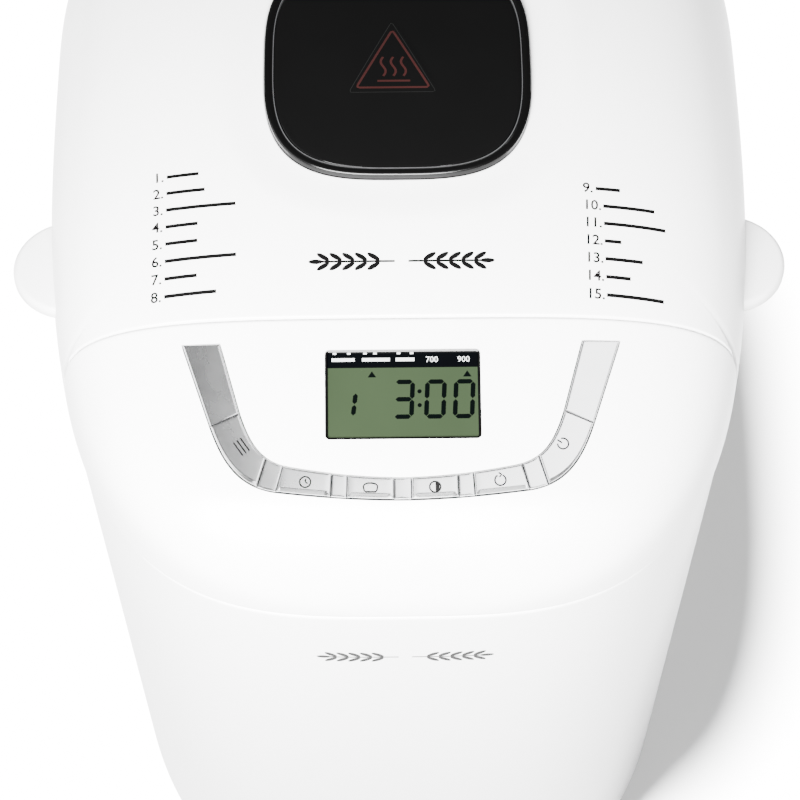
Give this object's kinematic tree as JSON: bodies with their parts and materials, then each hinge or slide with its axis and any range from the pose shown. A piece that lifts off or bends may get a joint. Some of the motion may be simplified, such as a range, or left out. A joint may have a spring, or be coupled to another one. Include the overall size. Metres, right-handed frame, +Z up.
{
  "type": "bread machine",
  "caption": "Household bread machine: tall tapered body, hinged domed lid with a window, sloped key panel, and a lift-out pan with a kneading paddle.",
  "frame": {"origin": "middle of the machine's bounding box, on the surface that the feet stand on", "axes": "+Z up, the control panel faces -Y, +X is to the right of someone facing the panel"},
  "size_m": [0.2606, 0.336, 0.29],
  "materials": {
    "white_plastic": "satin moulded white",
    "grey_plastic": "matte moulded",
    "black_plastic": "gloss black",
    "silver_plastic": "satin silver paint",
    "steel": "brushed",
    "coating": "non-stick coating",
    "dark_glass": "tinted, polished",
    "rubber": "matte",
    "board": "solder mask",
    "display": "display film",
    "copper": "varnished winding"
  },
  "bodies": {
    "housing": {"body_shell": "white_plastic", "base_plate": "white_plastic", "foot_1": "rubber", "foot_2": "rubber", "foot_3": "rubber", "foot_4": "rubber", "chassis": "steel", "control_panel_cover": "white_plastic", "top_deck": "white_plastic", "hinge_bracket_left": "grey_plastic", "hinge_bracket_right": "grey_plastic", "cord_gland": "grey_plastic", "hinge_pin_left": "steel", "hinge_pin_right": "steel", "band_trim": "silver_plastic", "display_lens": "display", "display_module": "black_plastic", "control_board": "board", "power_board": "board", "power_relay": "black_plastic", "transformer": "copper", "motor_capacitor": "grey_plastic", "motor_body": "steel", "motor_bracket": "steel", "drive_belt": "rubber", "bearing_housing": "steel", "baking_chamber": "steel", "heating_element": "steel", "temperature_sensor": "steel", "thermal_fuse": "grey_plastic", "pan_clip_left": "steel", "pan_clip_right": "steel"},
    "lid": {"lid_shell": "white_plastic", "finger_tab_left": "white_plastic", "finger_tab_right": "white_plastic", "lid_ear_left": "grey_plastic", "lid_ear_right": "grey_plastic", "window_bezel": "black_plastic", "window_glass": "dark_glass", "lid_liner": "steel", "inner_window": "dark_glass"},
    "pan": {"bread_pan": "coating", "pan_base_ring": "steel", "pan_bushing": "steel"},
    "bail": {"pan_handle": "steel"},
    "paddle": {"pan_shaft": "steel", "kneading_paddle": "coating"},
    "drive": {"drive_shaft": "steel", "drive_pulley": "black_plastic", "drive_coupling": "steel"},
    "motor": {"motor_shaft": "steel", "motor_pulley": "steel"},
    "key_menu": {"button_menu": "silver_plastic"},
    "key_time": {"button_time": "silver_plastic"},
    "key_loaf": {"button_loaf": "silver_plastic"},
    "key_color": {"button_color": "silver_plastic"},
    "key_cycle": {"button_cycle": "silver_plastic"},
    "key_power": {"button_power": "silver_plastic"}
  },
  "joints": [
    {"name": "lid_hinge", "type": "hinge", "parent": "housing", "child": "lid", "pos_m": [0, 0.1633, 0.245], "axis": [-1, 0, 0], "range_deg": [0, 95]},
    {"name": "pan_lift", "type": "slide", "parent": "housing", "child": "pan", "axis": [0, 0, 1], "range_m": [0, 0.012]},
    {"name": "bail_swing", "type": "hinge", "parent": "pan", "child": "bail", "pos_m": [0, 0.025, 0.183], "axis": [1, 0, 0], "range_deg": [0, 126]},
    {"name": "drive_spin", "type": "hinge", "parent": "housing", "child": "drive", "pos_m": [0, 0.025, 0.04], "axis": [0, 0, 1], "continuous": true},
    {"name": "paddle_spin", "type": "hinge", "parent": "pan", "child": "paddle", "pos_m": [0, 0.025, 0.08], "axis": [0, 0, 1], "continuous": true},
    {"name": "motor_spin", "type": "hinge", "parent": "housing", "child": "motor", "pos_m": [0, -0.118, 0.06], "axis": [0, 0, 1], "continuous": true},
    {"name": "menu_press", "type": "slide", "parent": "housing", "child": "key_menu", "axis": [0, 0.3091, -0.951], "range_m": [0, 0.0013], "stiffness_N_per_m": 200},
    {"name": "time_press", "type": "slide", "parent": "housing", "child": "key_time", "axis": [0, 0.3091, -0.951], "range_m": [0, 0.0013], "stiffness_N_per_m": 200},
    {"name": "loaf_press", "type": "slide", "parent": "housing", "child": "key_loaf", "axis": [0, 0.3091, -0.951], "range_m": [0, 0.0013], "stiffness_N_per_m": 200},
    {"name": "color_press", "type": "slide", "parent": "housing", "child": "key_color", "axis": [0, 0.3091, -0.951], "range_m": [0, 0.0013], "stiffness_N_per_m": 200},
    {"name": "cycle_press", "type": "slide", "parent": "housing", "child": "key_cycle", "axis": [0, 0.3091, -0.951], "range_m": [0, 0.0013], "stiffness_N_per_m": 200},
    {"name": "power_press", "type": "slide", "parent": "housing", "child": "key_power", "axis": [0, 0.3091, -0.951], "range_m": [0, 0.0013], "stiffness_N_per_m": 200}
  ],
  "couplings": [
    {"joint": "motor_spin", "follows": "drive_spin", "ratio": 5},
    {"joint": "paddle_spin", "follows": "drive_spin", "ratio": 1}
  ]
}
